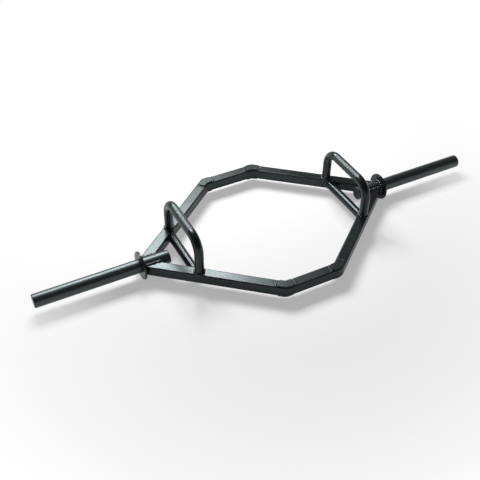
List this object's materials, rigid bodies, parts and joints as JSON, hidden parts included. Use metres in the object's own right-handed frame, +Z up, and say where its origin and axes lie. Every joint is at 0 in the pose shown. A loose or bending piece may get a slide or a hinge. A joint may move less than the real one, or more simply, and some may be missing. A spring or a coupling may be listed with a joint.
{
  "type": "hex trap bar",
  "caption": "Walk-in hexagonal lifting bar of welded square tube, with low and raised handles and a round loading sleeve at each end.",
  "frame": {"origin": "on the floor below the middle of the frame, where the undersides of the collars touch the floor", "axes": "+X along the sleeves to the right, +Y from front to back, +Z up"},
  "size_m": [1.8, 0.692, 0.2138],
  "materials": {
    "frame_coat": "satin black powder coat with a fine orange-peel texture",
    "sleeve_coat": "satin black powder coat, rubbed where plates slide",
    "handle_coat": "smooth semi-gloss black powder coat",
    "grip_coat": "black powder coat over a diamond knurl on the straight grip",
    "weld_coat": "satin black powder coat over rippled weld beads"
  },
  "bodies": {
    "root": {"back_bar": "frame_coat", "back_left_arm": "frame_coat", "back_left_bottom_gusset": "frame_coat", "back_left_corner_welds": "weld_coat", "back_left_top_gusset": "frame_coat", "back_right_arm": "frame_coat", "back_right_bottom_gusset": "frame_coat", "back_right_corner_welds": "weld_coat", "back_right_top_gusset": "frame_coat", "front_bar": "frame_coat", "front_left_arm": "frame_coat", "front_left_bottom_gusset": "frame_coat", "front_left_corner_welds": "weld_coat", "front_left_top_gusset": "frame_coat", "front_right_arm": "frame_coat", "front_right_bottom_gusset": "frame_coat", "front_right_corner_welds": "weld_coat", "front_right_top_gusset": "frame_coat", "left_collar": "sleeve_coat", "left_low_handle": "handle_coat", "left_low_handle_welds": "weld_coat", "left_raised_handle": "grip_coat", "left_raised_handle_welds": "weld_coat", "left_sleeve": "sleeve_coat", "left_sleeve_end_cap": "sleeve_coat", "left_sleeve_inner_plug": "sleeve_coat", "left_sleeve_welds": "weld_coat", "right_collar": "sleeve_coat", "right_low_handle": "handle_coat", "right_low_handle_welds": "weld_coat", "right_raised_handle": "grip_coat", "right_raised_handle_welds": "weld_coat", "right_sleeve": "sleeve_coat", "right_sleeve_end_cap": "sleeve_coat", "right_sleeve_inner_plug": "sleeve_coat", "right_sleeve_welds": "weld_coat"}
  },
  "joints": []
}
